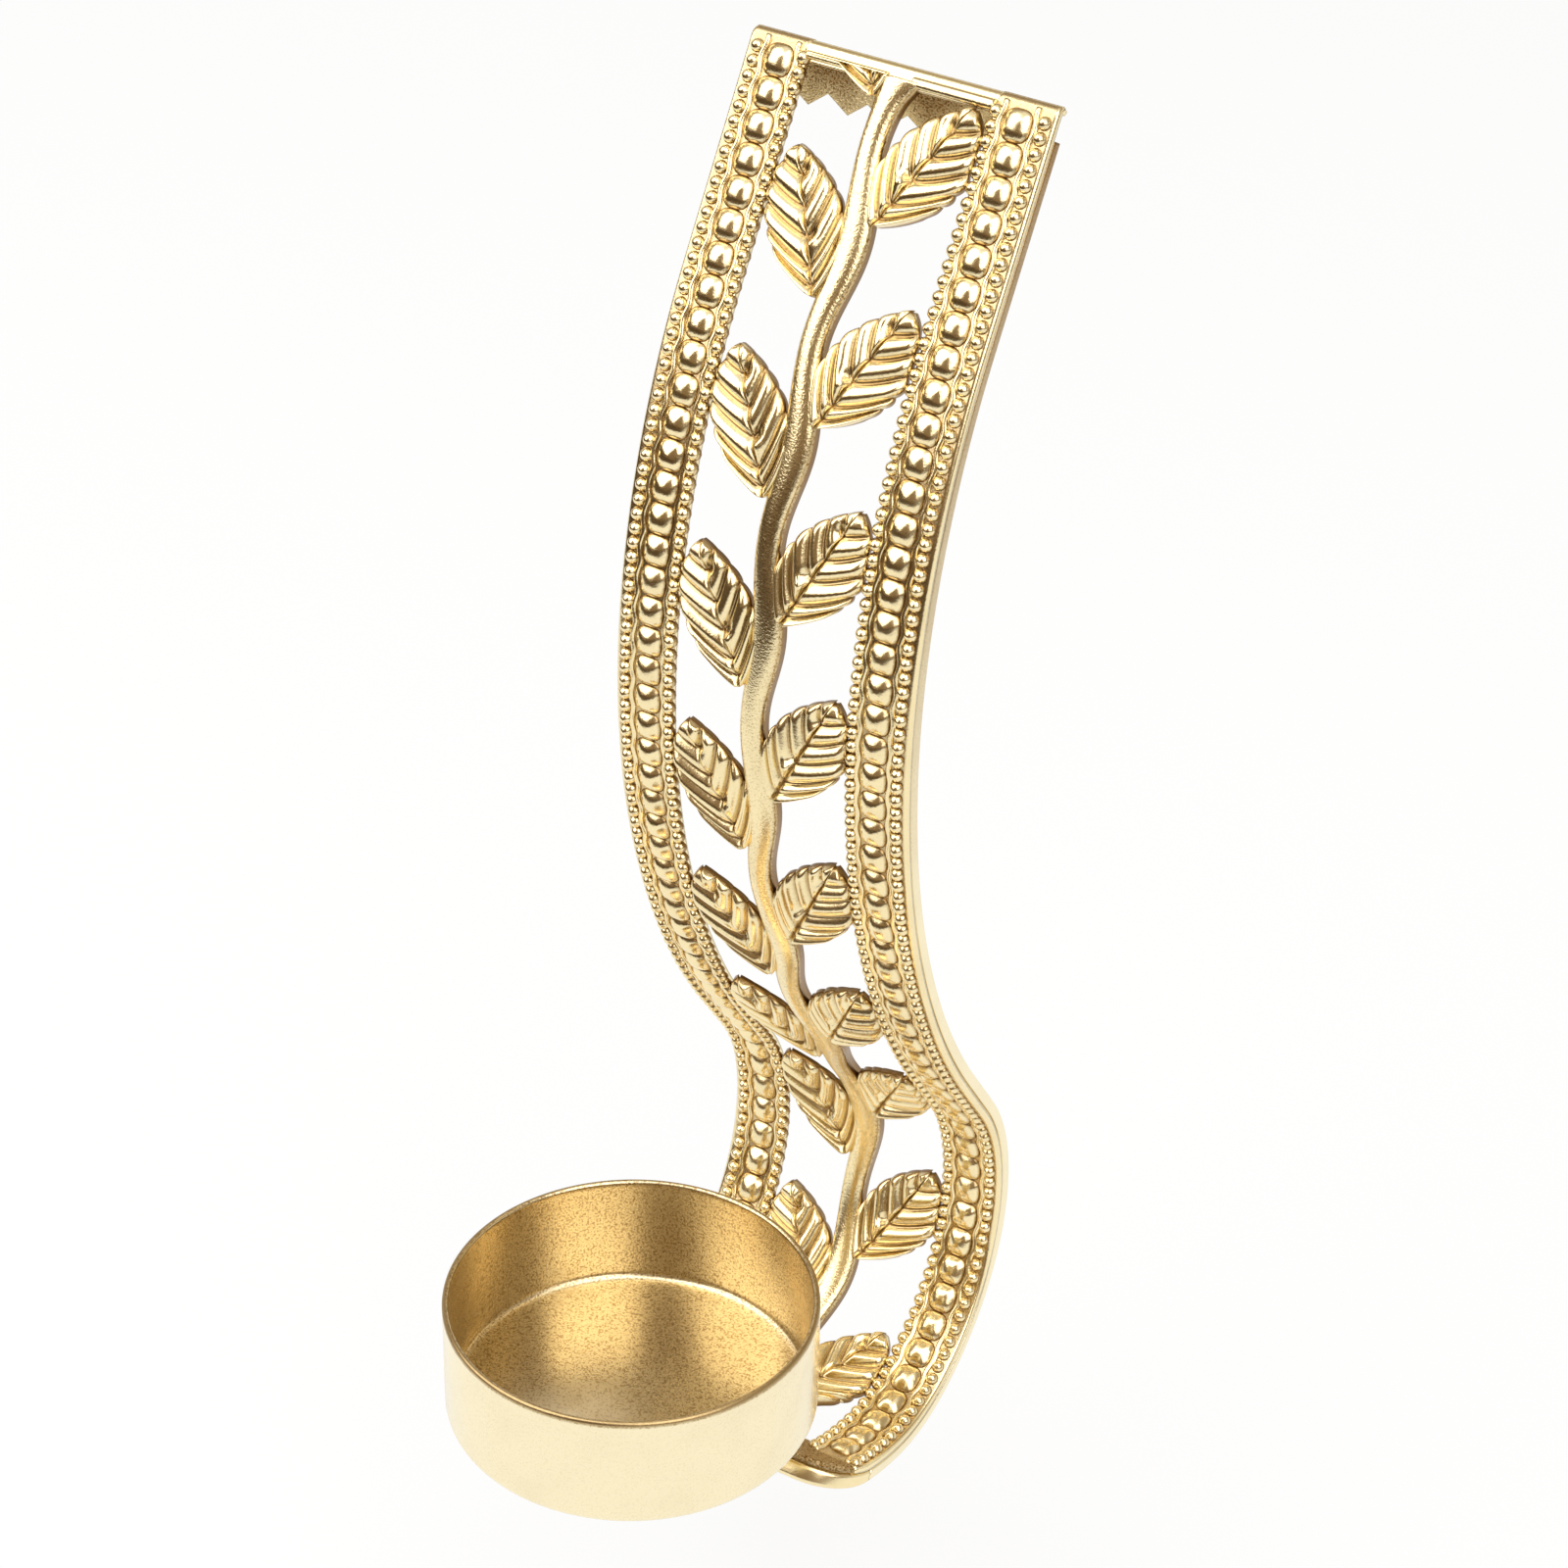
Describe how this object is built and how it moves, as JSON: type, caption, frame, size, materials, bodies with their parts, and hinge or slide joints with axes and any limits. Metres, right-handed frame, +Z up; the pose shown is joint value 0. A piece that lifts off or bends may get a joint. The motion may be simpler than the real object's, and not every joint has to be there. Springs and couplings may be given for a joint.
{
  "type": "wall candle sconce",
  "caption": "Gold metal wall sconce: a pierced leaf-vine strip with beaded borders, bent into an S and hooked up at the foot to carry a straight-walled tealight cup.",
  "frame": {"origin": "middle of the flat flap behind the top edge, on the wall plane", "axes": "+Z up, +Y into the wall, +X to the right seen from the room; the cup stands out along -Y"},
  "size_m": [0.045, 0.0798, 0.1771],
  "materials": {
    "strip_gold": "satin metallic gold with a fine grain in the hollows",
    "band_gold": "smooth satin metallic gold",
    "cup_gold": "smooth metallic gold, paler outside than inside"
  },
  "bodies": {
    "root": {"pierced_strip": "strip_gold", "left_edge_band": "band_gold", "right_edge_band": "band_gold", "candle_cup": "cup_gold"}
  },
  "joints": []
}
